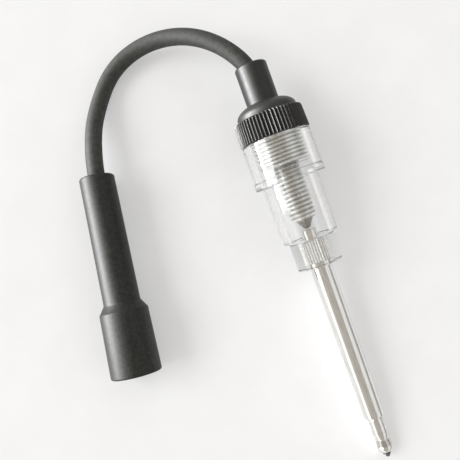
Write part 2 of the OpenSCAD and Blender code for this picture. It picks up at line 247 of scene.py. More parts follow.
def grid_mesh(
    name: str,
    points: np.ndarray,
    ring: bool = False,
    sharp: float = 38.0,
    shade: np.ndarray | None = None,
) -> bpy.types.Object:
    """Skins a grid of points with quads, closes its poles and points its faces outwards.

    Point (i, j) joins (i, j + 1), (i + 1, j + 1) and (i + 1, j), and the columns wrap round.

    Args:
        name: Name of the object and its mesh.
        points: Rows x columns x 3, in metres.
        ring: True if the last row joins the first one too.
        sharp: Edges that bend by more than this many degrees stay sharp.
        shade: Each point's share of the finish's shaded tone, from 0 to 1.

    Returns:
        The new object, at the origin.
    """
    rows, columns = points.shape[:2]
    row = np.arange(rows if ring else rows - 1)[:, None]
    column = np.arange(columns)[None, :]
    turn = (column + 1) % columns
    low = row * columns
    high = (row + 1) % rows * columns
    corners = np.broadcast_arrays(low + column, low + turn, high + turn, high + column)
    mesh = bpy.data.meshes.new(name)
    mesh.from_pydata(points.reshape(-1, 3), [], np.stack(corners, axis=-1).reshape(-1, 4))
    if shade is not None:
        attribute = mesh.attributes.new(SHADE, "FLOAT", "POINT")
        attribute.data.foreach_set("value", shade.astype(np.float32).ravel())
    shell = bmesh.new()
    shell.from_mesh(mesh)
    bmesh.ops.remove_doubles(shell, verts=shell.verts, dist=WELD)
    bmesh.ops.recalc_face_normals(shell, faces=shell.faces)
    shell.to_mesh(mesh)
    shell.free()
    mesh.shade_smooth()
    mesh.set_sharp_from_angle(angle=math.radians(sharp))
    piece = bpy.data.objects.new(name, mesh)
    bpy.context.scene.collection.objects.link(piece)
    return piece


class MixIn(IntEnum):
    """Numbers of a Mix node's inputs, whose names repeat."""

    FACTOR = 0
    FLOAT_A = 2
    FLOAT_B = 3
    COLOUR_A = 6
    COLOUR_B = 7


class MixOut(IntEnum):
    """Numbers of a Mix node's outputs, whose names repeat."""

    FLOAT = 0
    COLOUR = 2


class Nodes:
    """Short calls for the nodes and links of one node tree."""

    def __init__(self, tree: bpy.types.NodeTree) -> None:
        """Starts from an empty tree."""
        self.tree = tree
        self.tree.nodes.clear()

    def node(self, kind: str, inputs: dict | None = None, **settings: object) -> bpy.types.Node:
        """Adds a node.

        Args:
            kind: Blender's name of the node.
            inputs: Values or output sockets for inputs, by name or number.
            **settings: The node's own settings.

        Returns:
            The node.
        """
        made = self.tree.nodes.new(kind)
        for key, value in settings.items():
            setattr(made, key, value)
        for key, value in (inputs or {}).items():
            if isinstance(value, Socket):
                self.tree.links.new(value, made.inputs[key])
            else:
                made.inputs[key].default_value = value
        return made

    def calculate(self, operation: str, first: Socket, second: Socket | float) -> Socket:
        """Works out an operation of two numbers."""
        return self.node("ShaderNodeMath", {0: first, 1: second}, operation=operation).outputs[0]


class Shading(Nodes):
    """A material's nodes, with the patterns that the finishes share."""

    def __init__(self, name: str) -> None:
        """Starts an empty material.

        Args:
            name: Name of the material.
        """
        self.material = bpy.data.materials.new(name)
        self.material.use_nodes = True
        super().__init__(self.material.node_tree)

    def noise(self, size: float, stretch: float = 1.0) -> Socket:
        """Adds noise in Object coordinates.

        Args:
            size: Size of a patch in millimetres.
            stretch: How many times longer a patch is along the tester than across it.

        Returns:
            The noise's factor.
        """
        place = self.node("ShaderNodeTexCoord").outputs["Object"]
        turned = self.node("ShaderNodeMapping", {"Vector": place, "Scale": (1 / stretch, 1.0, 1.0)})
        grain = {
            "Vector": turned.outputs["Vector"], "Scale": 1 / (size * MM), "Detail": NOISE_LAYERS,
        }
        return self.node("ShaderNodeTexNoise", grain).outputs["Fac"]

    def spread(self, value: Socket, low: float = 0.0, high: float = 1.0) -> Socket:
        """Spreads the middle of a noise over the range from low to high."""
        limits = {"Value": value, **NOISE_MIDDLE, "To Min": low, "To Max": high}
        return self.node("ShaderNodeMapRange", limits).outputs["Result"]

    def tone(self, share: Socket, dark: Colour | Socket, light: Colour) -> Socket:
        """Mixes two tones.

        Args:
            share: From 0, all dark, to 1, all light.
            dark: A tone, or a socket that gives it.
            light: The other tone.

        Returns:
            The mixed tone.
        """
        first = dark if isinstance(dark, Socket) else (*dark, 1.0)
        tones = {MixIn.FACTOR: share, MixIn.COLOUR_A: first, MixIn.COLOUR_B: (*light, 1.0)}
        return self.node("ShaderNodeMix", tones, data_type="RGBA").outputs[MixOut.COLOUR]

    def relief(self, height: Socket, depth: float) -> Socket:
        """Turns a height from 0 to 1 into a bumped normal, with its depth in millimetres."""
        bump = self.node("ShaderNodeBump", {"Height": height, "Distance": depth * MM})
        return bump.outputs["Normal"]

    def show(self, shader: bpy.types.Node) -> bpy.types.Material:
        """Shows a shader on the surface and returns the material."""
        self.node("ShaderNodeOutputMaterial", {"Surface": shader.outputs[0]})
        return self.material


@dataclass(frozen=True)
class Finish:
    """A solid finish: two tones and two roughnesses in patches, with a fine relief.

    Attributes:
        name: Name of the material.
        dark: Tone of the deeper patches, as linear red, green and blue.
        light: Tone of the lighter patches.
        rough: Least and greatest roughness.
        patch: Size of a patch in millimetres.
        grain: Size of the relief's grain in millimetres.
        depth: Depth of the relief in millimetres.
        stretch: How many times longer patches and grain are along the tester.
        metallic: 1 for metal.
        specular: Strength of the reflection from a finish that isn't metal.
        shaded: Second tone where a piece's shade attribute is 1: painted shade in thread roots and
            flute dips, a painted dark reflection in the nut's groove, and the cap dome's lighter tone.
        shaded_rough: Roughness there, if it differs.
    """

    name: str
    dark: Colour
    light: Colour
    rough: tuple[float, float]
    patch: float
    grain: float
    depth: float
    stretch: float = 1.0
    metallic: float = 0.0
    specular: float = 0.5
    shaded: Colour | None = None
    shaded_rough: float | None = None

    def material(self) -> bpy.types.Material:
        """Builds the finish as a node material.

        Returns:
            The material.
        """
        shading = Shading(self.name)
        share = shading.spread(shading.noise(self.patch, self.stretch))
        tone = shading.tone(share, self.dark, self.light)
        rough = shading.spread(shading.noise(self.patch / FINER, self.stretch), *self.rough)
        if self.shaded:
            shade = shading.node("ShaderNodeAttribute", attribute_name=SHADE).outputs["Fac"]
            tone = shading.tone(shade, tone, self.shaded)
            if self.shaded_rough is not None:
                mix = {MixIn.FACTOR: shade, MixIn.FLOAT_A: rough, MixIn.FLOAT_B: self.shaded_rough}
                rough = shading.node("ShaderNodeMix", mix).outputs[MixOut.FLOAT]
        surface = {
            "Base Color": tone,
            "Roughness": rough,
            "Normal": shading.relief(shading.noise(self.grain, self.stretch), self.depth),
            "Metallic": self.metallic,
            "Specular IOR Level": self.specular,
        }
        return shading.show(shading.node("ShaderNodeBsdfPrincipled", surface))


@dataclass(frozen=True)
class Metal(Finish):
    """A bare or plated metal."""

    metallic: float = 1.0


@dataclass(frozen=True)
class ClearPlastic:
    """A clear moulded plastic with slight flow waves.

    Attributes:
        name: Name of the material.
        dark: Tint of the light that passes where it is deepest, as linear red, green and blue.
        light: Tint where it is clearest.
        ior: Refractive index.
        rough: Least and greatest roughness.
        wave: Size of a flow wave in millimetres.
        depth: Depth of the waves in millimetres.
    """

    name: str
    dark: Colour
    light: Colour
    ior: float
    rough: tuple[float, float]
    wave: float
    depth: float

    def material(self) -> bpy.types.Material:
        """Builds the plastic as a node material.

        Returns:
            The material.
        """
        shading = Shading(self.name)
        waves = shading.noise(self.wave)
        surface = {
            "Base Color": shading.tone(shading.spread(waves), self.dark, self.light),
            "Transmission Weight": 1.0,
            "IOR": self.ior,
            "Roughness": shading.spread(waves, *self.rough),
            "Normal": shading.relief(waves, self.depth),
        }
        return shading.show(shading.node("ShaderNodeBsdfPrincipled", surface))


@dataclass(frozen=True)
class Paper:
    """White paper that glows a little where it is seen, so that its shadows stay light.

    Attributes:
        name: Name of the material.
        dark: Tone of the deeper patches, as linear red, green and blue.
        light: Tone of the lighter patches.
        patch: Size of a patch in millimetres.
        glow: Share of the seen brightness that is glow.
    """

    name: str
    dark: Colour
    light: Colour
    patch: float
    glow: float

    def material(self) -> bpy.types.Material:
        """Builds the paper as a node material, whose glow lights nothing else.

        Returns:
            The material.
        """
        shading = Shading(self.name)
        tone = shading.tone(shading.spread(shading.noise(self.patch)), self.dark, self.light)
        sheet = shading.node("ShaderNodeBsdfDiffuse", {"Color": tone}).outputs[0]
        light = shading.node("ShaderNodeEmission", {"Color": tone, "Strength": 1.0}).outputs[0]
        path = shading.node("ShaderNodeLightPath").outputs
        seen = path["Is Camera Ray"]
        for ray in ("Is Glossy Ray", "Is Transmission Ray"):
            seen = shading.calculate("MAXIMUM", seen, path[ray])
        share = shading.calculate("MULTIPLY", seen, self.glow)
        return shading.show(shading.node("ShaderNodeMixShader", {0: share, 1: sheet, 2: light}))


CLEAR = ClearPlastic(
    "clear_moulding", dark=(0.985, 0.99, 0.985), light=WHITE, ior=1.49, rough=(0.0, 0.02),
    wave=8.0, depth=0.01,
)
NICKEL = Metal(
    "bright_nickel", dark=(0.77, 0.76, 0.74), light=(0.86, 0.855, 0.835), rough=(0.07, 0.15),
    patch=1.5, grain=0.4, depth=0.003,
)
# Its shaded tone is painted shade in the roots of the plug's and post's threads.
THREADED = Metal(
    "threaded_nickel", dark=(0.85, 0.85, 0.825), light=(0.97, 0.97, 0.95), rough=(0.22, 0.36),
    patch=1.0, grain=0.4, depth=0.004, shaded=(0.43, 0.425, 0.41),
)
# Its shaded tone is painted shade in the dips of the insert's flutes.
FLUTED = Metal(
    "fluted_nickel", dark=(0.88, 0.875, 0.85), light=(0.98, 0.98, 0.96), rough=(0.2, 0.32),
    patch=1.0, grain=0.4, depth=0.004, shaded=(0.5, 0.495, 0.475),
)
# Its shaded tone is a painted dark reflection in the nut's snap groove.
TURNED = Metal(
    "turned_nickel", dark=(0.75, 0.74, 0.72), light=(0.86, 0.855, 0.835), rough=(0.08, 0.16),
    patch=1.0, grain=0.4, depth=0.004, shaded=(0.42, 0.41, 0.38),
)
DRAWN = Metal(
    "drawn_bright_steel", dark=(0.76, 0.75, 0.73), light=(0.87, 0.865, 0.845), rough=(0.08, 0.18),
    patch=0.5, grain=0.3, depth=0.002, stretch=40.0,
)
DARK_STEEL = Metal(
    "darkened_steel", dark=(0.29, 0.285, 0.26), light=(0.46, 0.45, 0.415), rough=(0.22, 0.36),
    patch=1.2, grain=0.4, depth=0.006,
)
# Its shaded tone is painted shade in the roots of the stud's thread.
BLACKENED = Metal(
    "blackened_steel", dark=(0.09, 0.088, 0.08), light=(0.18, 0.175, 0.16), rough=(0.26, 0.4),
    patch=0.8, grain=0.4, depth=0.006, shaded=(0.03, 0.03, 0.027),
)
SPRING = Metal(
    "spring_wire", dark=(0.45, 0.45, 0.44), light=(0.62, 0.62, 0.6), rough=(0.25, 0.35),
    patch=1.0, grain=0.3, depth=0.003,
)
BRASS = Metal(
    "formed_brass", dark=(0.6, 0.44, 0.2), light=(0.76, 0.6, 0.32), rough=(0.22, 0.38),
    patch=1.5, grain=0.3, depth=0.004,
)
COPPER = Metal(
    "bare_copper", dark=(0.66, 0.36, 0.2), light=(0.78, 0.48, 0.3), rough=(0.25, 0.4),
    patch=0.8, grain=0.3, depth=0.004,
)
# Its shaded tone and roughness give the dome and the hollow a lighter, satin black.
CAP_PLASTIC = Finish(
    "black_moulding", dark=(0.002, 0.0025, 0.002), light=(0.005, 0.006, 0.004), rough=(0.31, 0.37),
    patch=5.0, grain=0.8, depth=0.003, specular=0.64,
    shaded=(0.012, 0.0135, 0.0105), shaded_rough=0.47,
)
SLEEVE_RUBBER = Finish(
    "smooth_black_rubber", dark=(0.002, 0.0025, 0.002), light=(0.005, 0.006, 0.004),
    rough=(0.42, 0.48), patch=4.0, grain=0.8, depth=0.003, specular=0.57,
)
LEAD_RUBBER = Finish(
    "dusty_lead_rubber", dark=(0.028, 0.03, 0.026), light=(0.048, 0.05, 0.045),
    rough=(0.64, 0.72), patch=1.6, grain=0.8, depth=0.004, specular=0.4,
)
BOOT_RUBBER = Finish(
    "dusty_boot_rubber", dark=(0.001, 0.0015, 0.001), light=(0.013, 0.016, 0.011),
    rough=(0.47, 0.55), patch=1.2, grain=0.8, depth=0.004, specular=0.46,
)


@dataclass
class Workshop:
    """Finishes pieces and ties them to bodies and nodes.

    Attributes:
        materials: The materials made so far, one for each finish, by name.
    """

    materials: dict[str, bpy.types.Material] = field(default_factory=dict)

    def coat(self, piece: bpy.types.Object, finish: Finish | ClearPlastic) -> None:
        """Gives a piece or node one finish.

        Args:
            piece: The piece's or node's object.
            finish: The finish.
        """
        if finish.name not in self.materials:
            self.materials[finish.name] = finish.material()
        piece.data.materials.clear()
        piece.data.materials.append(self.materials[finish.name])

    def fit(
        self,
        piece: bpy.types.Object,
        finish: Finish | ClearPlastic,
        body: Body,
        node: str,
    ) -> None:
        """Finishes a piece that stands for a node.

        Args:
            piece: The piece, in place.
            finish: Its finish.
            body: The body it rides on.
            node: The node it stands for.
        """
        self.coat(piece, finish)
        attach(piece, body.value)
        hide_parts(node)
        LOG.info("%s stands for %s, %d faces", piece.name, node, len(piece.data.polygons))

    def refinish(self, node: str, finish: Finish) -> None:
        """Gives a node that stays as it is a better finish."""
        self.coat(frame["nodes"][node], finish)
        LOG.info("%s keeps its solid", node)


@dataclass(frozen=True)
class Thread:
    """A right-hand thread about an axis.

    Attributes:
        pitch: Travel for one turn.
        depth: Height of the crests over the roots.
        flat: Share of half a pitch that is flat at the crest and at the root.
    """

    pitch: float
    depth: float
    flat: float = 0.16

    def rise(self, station: np.ndarray, angle: np.ndarray) -> np.ndarray:
        """Works out the thread's height over its root.

        With p the fraction of station / pitch - angle / turn, the height is depth times a smooth
        step of |2p - 1|, so that crests wind along a right-hand helix.

        Args:
            station: Stations, one for each row.
            angle: Angles in radians, one for each column.

        Returns:
            Heights as rows x columns.
        """
        phase = np.mod(station[:, None] / self.pitch - angle[None, :] / TURN, 1.0)
        ramp = np.clip((np.abs(2 * phase - 1) - self.flat) / (1 - 2 * self.flat), 0.0, 1.0)
        return self.depth * ramp * ramp * (3 - 2 * ramp)

    def shade(self, rise: np.ndarray) -> np.ndarray:
        """Works out the painted shade of points, from 1 at the thread's root to 0 at half its depth."""
        return np.clip(1 - 2 * rise / self.depth, 0.0, 1.0)

    def stations(self, start: float, end: float, steps: int = 14) -> np.ndarray:
        """Returns stations from start to end, with so many steps for each pitch."""
        return np.linspace(start, end, 1 + math.ceil(abs(end - start) / self.pitch * steps))


SCREW = Thread(pitch=1.5, depth=0.75)


@dataclass
class Probe:
    """Bright probe: core rod, tube over it, and terminal nut on its stud."""

    axis: Axis
    nut_s: float = 2.4
    core_s: float = 11.0
    tube_s: float = 17.6
    insert_s: float = INSERT_S
    electrode_s: float = 98.5
    core_r: float = CORE_R
    tube_r: float = 4.45
    nut_r: float = 3.25
    nose_len: float = 1.8
    groove_s: float = 4.8
    groove_end_s: float = 8.1
    groove_r: float = 3.05
    groove_shade: float = 0.6
    bevel_depth: float = 0.06
    bevel_len: float = 0.1
    stud_r: float = 1.7
    stud_end_r: float = 0.8
    stud_cone: float = 1.4
    stud_relief: float = 0.2
    stud_columns: int = 64
    stud_steps: int = 10
    relief_len: float = 0.8
    relief_depth: float = 0.3
    edge: float = 0.4
    seat: float = 0.05
    stud_thread: Thread = Thread(pitch=0.7, depth=0.3)

    def core_rod(self) -> bpy.types.Object:
        """Turns the core rod, with its relief groove and its rounded electrode end.

        Returns:
            The piece.
        """
        r = self.core_r
        relief_r = r - self.relief_depth
        relief_s = self.tube_s - self.relief_len
        profile = outline(
            [[0, self.core_s], [r, self.core_s], [r, relief_s]],
            [[relief_r, relief_s], [relief_r, self.tube_s], [r, self.tube_s]],
            [[r, self.electrode_s - self.edge]],
            top_edge(r, self.electrode_s, self.edge, steps=4),
            [[0, self.electrode_s]],
        )
        return grid_mesh("core_rod_turned", self.axis.lathe(profile))

    def tube(self) -> bpy.types.Object:
        """Turns the tube, with a rounded lower edge.

        Returns:
            The piece.
        """
        bore = self.core_r + self.seat
        top = self.insert_s - self.seat
        profile = outline(
            [[bore, self.tube_s]],
            low_edge(self.tube_r, self.tube_s, self.edge, steps=4),
            [[self.tube_r, top], [bore, top]],
        )
        return grid_mesh("probe_tube_turned", self.axis.lathe(profile), ring=True)

    def nut(self) -> bpy.types.Object:
        """Turns the terminal nut: rounded nose, snap groove with bevelled rims, and skirt.

        Returns:
            The piece.
        """
        bore = self.stud_r + self.seat
        nose_r = self.stud_r + self.edge
        top = self.core_s - self.seat
        rim = self.nut_r - self.bevel_depth
        start, end = self.groove_s, self.groove_end_s
        nose_s = self.nut_s + self.nose_len
        profile = outline(
            [[bore, self.nut_s]],
            arc(nose_r, nose_s, self.nut_r - nose_r, self.nose_len, -90, 0, steps=10),
            [[self.nut_r, start - self.bevel_len], [rim, start]],
            [[self.groove_r, start + self.edge], [self.groove_r, end - self.edge]],
            [[rim, end], [self.nut_r, end + self.bevel_len]],
            [[self.nut_r, top], [bore, top]],
        )
        points = self.axis.lathe(profile)
        # The groove takes groove_shade of the finish's shaded tone, a painted dark reflection.
        groove = np.isclose(profile[:, :1], self.groove_r)
        shade = np.broadcast_to(self.groove_shade * groove, points.shape[:2])
        return grid_mesh("terminal_nut_turned", points, ring=True, shade=shade)

    def stud(self) -> bpy.types.Object:
        """Turns the stud: a cone, then a thread of root radius plus the thread's rise.

        Returns:
            The piece.
        """
        angle = even_angles(self.stud_columns)
        rows = self.stud_thread.stations(self.stud_cone, self.core_s, self.stud_steps)
        rise = self.stud_thread.rise(rows, angle)
        root = self.stud_r - self.stud_thread.depth
        cone = outline([[0, 0], [self.stud_end_r, 0], [root, self.stud_cone - self.stud_relief]])
        end = outline([[0, self.core_s]])
        station = np.concatenate([cone[:, 1], rows, end[:, 1]])
        radius = stack_rows(cone[:, :1], root + rise, end[:, :1])
        # Painted shade in the thread's roots.
        shade = stack_rows(0 * cone[:, :1], self.stud_thread.shade(rise), 0 * end[:, :1])
        points = self.axis.surface(radius, station, angle)
        return grid_mesh("terminal_stud_threaded", points, shade=shade)

    def build(self, shop: Workshop) -> None:
        """Builds and dresses the probe.

        Args:
            shop: The workshop that finishes its pieces.
        """
        shop.fit(self.core_rod(), NICKEL, Body.BARREL, "core_rod")
        shop.fit(self.tube(), DRAWN, Body.BARREL, "probe_tube")
        shop.fit(self.nut(), TURNED, Body.BARREL, "terminal_nut")
        shop.fit(self.stud(), BLACKENED, Body.BARREL, "terminal_stud")


@dataclass
class Barrel:
    """Clear barrel: solid hub moulded round a fluted insert, chamber, collar and threaded neck."""

    axis: Axis
    hub_s: float = 83.2
    insert_s: float = INSERT_S
    floor_s: float = 94.8
    step_s: float = 95.0
    collar_s: float = 119.3
    neck_s: float = 122.3
    thread_end_s: float = 120.8
    rim_s: float = 137.5
    hub_r: float = 9.3
    chamber_low_r: float = 11.3
    chamber_top_r: float = 11.6
    chamber_bore_r: float = 8.15
    collar_r: float = 14.65
    neck_r: float = 14.2
    thread_r: float = 11.1
    thread_steps: int = 12
    columns: int = 192
    insert_r: float = 4.0
    core_r: float = CORE_R
    flute_count: int = 26
    flute_depth: float = 0.3
    flute_columns: int = 12
    edge: float = 0.4
    corner: float = 0.8
    fillet: float = 0.9
    sharp: float = 30.0
    thread: Thread = Thread(pitch=SCREW.pitch, depth=0.05)

    def moulding(self) -> bpy.types.Object:
        """Turns the clear moulding: solid hub, chamber, collar and neck.

        The hub is solid because it is moulded onto the metal in it. The neck's bore has a radius of
        thread_r less the rise of a shallow thread.

        Returns:
            The piece.
        """
        fillet, corner = self.fillet, self.corner
        outside = outline(
            [[0, self.hub_s]],
            low_edge(self.hub_r, self.hub_s, self.edge),
            arc(self.hub_r + fillet, self.step_s - fillet, fillet, fillet, 180, 90),
            low_edge(self.chamber_low_r, self.step_s, corner),
            [[self.chamber_top_r, self.collar_s]],
            low_edge(self.collar_r, self.collar_s, self.edge, steps=4),
            top_edge(self.collar_r, self.neck_s, self.edge, steps=4),
            [[self.neck_r, self.neck_s]],
            top_edge(self.neck_r, self.rim_s, self.edge, steps=4),
            [[self.thread_r + self.edge, self.rim_s]],
        )
        inside = outline(
            [[self.chamber_bore_r, self.thread_end_s]],
            arc(self.chamber_bore_r - corner, self.floor_s + corner, corner, corner, 0, -90),
            [[0, self.floor_s]],
        )
        angle = even_angles(self.columns)
        rows = self.thread.stations(self.rim_s - self.edge, self.thread_end_s, self.thread_steps)
        bore = self.thread_r - self.thread.rise(rows, angle)
        radius = stack_rows(outside[:, :1], bore, inside[:, :1])
        station = np.concatenate([outside[:, 1], rows, inside[:, 1]])
        points = self.axis.surface(radius, station, angle)
        return grid_mesh("clear_moulding", points, sharp=self.sharp)

    def insert(self) -> bpy.types.Object:
        """Turns the fluted insert.

        Its radius falls by flute_depth times the dip, (1 + cos(flute_count * angle)) / 2, and shade
        is painted where the dip is over a half.

        Returns:
            The piece.
        """
        angle = even_angles(self.flute_count * self.flute_columns)
        dip = 0.5 + 0.5 * np.cos(self.flute_count * angle)
        flute = self.insert_r - self.flute_depth * dip
        bore = np.full_like(flute, self.core_r)
        radius = np.stack([bore, flute, flute, bore])
        station = np.array([self.insert_s, self.insert_s, self.floor_s, self.floor_s])
        shade = np.broadcast_to(np.clip(2 * dip - 1, 0, 1), radius.shape)
        points = self.axis.surface(radius, station, angle)
        return grid_mesh("fluted_insert", points, ring=True, shade=shade)

    def build(self, shop: Workshop) -> None:
        """Builds and dresses the barrel."""
        shop.fit(self.moulding(), CLEAR, Body.BARREL, "clear_barrel")
        shop.fit(self.insert(), FLUTED, Body.BARREL, "knurled_insert")


@dataclass
class Cap:
    """Ribbed cap, with the plug that it turns in the neck, the threaded post and its dark tip."""

    axis: Axis
    ring_s: float = 137.8
    dome_s: float = 147.3
    sleeve_base_s: float = 152.5
    pocket_s: float = 143.2
    pocket_len: float = 3.0
    ring_low_r: float = 14.5
    ring_top_r: float = 14.15
    rib_count: int = 58
    rib_depth: float = 0.72
    rib_edge: float = 0.6
    rib_columns: int = 12
    dome_r: float = 12.4
    dome_land: float = 0.8
    dome_reach: float = 9.4
    dome_fillet: float = 0.15
    lip: float = 1.0
    edge: float = 0.25
    sharp: float = 34.0
    shank_hole: float = 10.05
    flange_hole: float = 8.9
    sleeve_hole: float = 6.85
    plug_s: float = 125.8
    plug_r: float = 10.8
    plug_relief: float = 0.2
    plug_columns: int = 192
    shank_r: float = 10.0
    corner: float = 0.8
    thread_sharp: float = 50.0
    post_s: float = 102.9
    post_r: float = 6.0
    post_low_r: float = 4.4
    post_taper: float = 2.6
    post_top_s: float = 134.0
    post_columns: int = 144
    tip_r: float = 3.6
    tip_end_r: float = 1.6
    tip_len: float = 4.0
    tip_land: float = 0.15
    tip_bevel_depth: float = 0.15
    tip_bevel_len: float = 0.35
    tip_shank_r: float = 2.0
    tip_shank_len: float = 6.0
    tip_columns: int = 96
    post_thread: Thread = Thread(pitch=1.75, depth=0.8)

    def dome(self) -> np.ndarray:
        """Draws the dome, a quarter ellipse cut off at the sleeve's hole, and the hollow below it.

        Returns:
            Rows of (radius, station).
        """
        centre_r = self.dome_r - self.dome_reach
        base_s = self.dome_s + self.dome_land
        pocket_end_s = self.pocket_s + self.pocket_len
        end = math.degrees(math.acos((self.sleeve_hole - centre_r) / self.dome_reach))
        rise = (self.sleeve_base_s - base_s) / math.sin(math.radians(end))
        return outline(
            [[self.dome_r + self.dome_fillet, self.dome_s]],
            [[self.dome_r, self.dome_s + self.dome_fillet]],
            arc(centre_r, base_s, self.dome_reach, rise, 0, end, steps=20),
            [[self.sleeve_hole, pocket_end_s], [self.flange_hole, pocket_end_s]],
            [[self.flange_hole, self.pocket_s], [self.shank_hole, self.pocket_s]],
            [[self.shank_hole, self.ring_s]],
        )

    def moulding(self) -> bpy.types.Object:
        """Turns the cap: ribbed ring, dome, and the hollow for plug and sleeve.

        On the ring the radius is the lesser of the turned profile and the tapered body less a wave
        of valleys, rib_depth * (1 + arcsin(k * sin(rib_count * angle)) / arcsin(k)) / 2 with k the
        rib_edge, from near 0 for round ribs to 1 for a zigzag. All but the ring takes the finish's
        lighter second tone and satin roughness.

        Returns:
            The piece.
        """
        angle = even_angles(self.rib_count * self.rib_columns)
        wave = np.arcsin(self.rib_edge * np.sin(self.rib_count * angle)) / math.asin(self.rib_edge)
        valley = self.rib_depth * (0.5 + 0.5 * wave)
        ring = outline(
            low_edge(self.ring_low_r, self.ring_s, self.edge, steps=3),
            top_edge(self.ring_top_r, self.dome_s, self.lip, steps=10),
        )
        body = np.interp(ring[:, 1], [self.ring_s, self.dome_s], [self.ring_low_r, self.ring_top_r])
        ribs = np.minimum(ring[:, :1], body[:, None] - valley[None, :])
        dome = self.dome()
        radius = stack_rows(ribs, dome[:, :1])
        station = np.concatenate([ring[:, 1], dome[:, 1]])
        shade = stack_rows(np.zeros_like(ribs), np.ones((len(dome), 1)))
        points = self.axis.surface(radius, station, angle)
        return grid_mesh("ribbed_cap", points, ring=True, sharp=self.sharp, shade=shade)

    def plug(self) -> bpy.types.Object:
        """Turns the plug: a chamfered face, a thread of root radius plus rise, and its shank.

        Returns:
            The piece.
        """
        angle = even_angles(self.plug_columns)
        rows = SCREW.stations(self.plug_s, self.ring_s)
        rise = SCREW.rise(rows, angle)
        root = self.plug_r - SCREW.depth
        chamfer = np.clip((rows - self.plug_s) / self.corner, 0.0, 1.0)[:, None]
        limit = root - self.plug_relief + chamfer * (SCREW.depth + self.plug_relief)
        face = outline([[0, self.plug_s]])
        shank = outline(
            [[self.shank_r, self.ring_s], [self.shank_r, self.pocket_s], [0, self.pocket_s]]
        )
        station = np.concatenate([face[:, 1], rows, shank[:, 1]])
        radius = stack_rows(face[:, :1], np.minimum(root + rise, limit), shank[:, :1])
        # Painted shade in the thread's roots.
        shade = stack_rows(0 * face[:, :1], SCREW.shade(rise), 0 * shank[:, :1])
        points = self.axis.surface(radius, station, angle)
        return grid_mesh("threaded_plug_cut", points, sharp=self.thread_sharp, shade=shade)

    def post(self) -> bpy.types.Object:
        """Turns the post: a thread whose crests are cut back to a cone at its lower end.

        Returns:
            The piece.
        """
        angle = even_angles(self.post_columns)
        rows = self.post_thread.stations(self.post_s, self.post_top_s)
        rise = self.post_thread.rise(rows, angle)
        root = self.post_r - self.post_thread.depth
        flare = self.post_r - self.post_low_r
        cone = self.post_low_r + (rows - self.post_s) / self.post_taper * flare
        middle = np.zeros((1, 1))
        station = np.concatenate([[self.post_s], rows, [self.post_top_s]])
        radius = stack_rows(middle, np.minimum(root + rise, cone[:, None]), middle)
        # Painted shade in the thread's roots.
        shade = stack_rows(middle, self.post_thread.shade(rise), middle)
        points = self.axis.surface(radius, station, angle)
        return grid_mesh("electrode_post_threaded", points, sharp=self.thread_sharp, shade=shade)

    def tip(self) -> bpy.types.Object:
        """Turns the dark tip: a rounded end, a cone and its shank in the post.

        Returns:
            The piece.
        """
        base = self.post_s
        shank_end = base + self.tip_shank_len
        nose = self.tip_end_r / 2
        profile = outline(
            arc(0, base - self.tip_len + nose, self.tip_end_r, nose, -90, 0, steps=8),
            [[self.tip_r - self.tip_bevel_depth, base - self.tip_bevel_len]],
            [[self.tip_r, base - self.tip_land], [self.tip_r, base]],
            [[self.tip_shank_r, base], [self.tip_shank_r, shank_end], [0, shank_end]],
        )
        return grid_mesh("electrode_tip_turned", self.axis.lathe(profile, self.tip_columns))

    def build(self, shop: Workshop) -> None:
        """Builds and dresses the cap.

        Args:
            shop: The workshop that finishes its pieces.
        """
        shop.fit(self.moulding(), CAP_PLASTIC, Body.CAP, "knurled_cap")
        shop.fit(self.plug(), THREADED, Body.CAP, "threaded_plug")
        shop.fit(self.post(), THREADED, Body.CAP, "electrode_post")
        shop.fit(self.tip(), DARK_STEEL, Body.CAP, "electrode_tip")


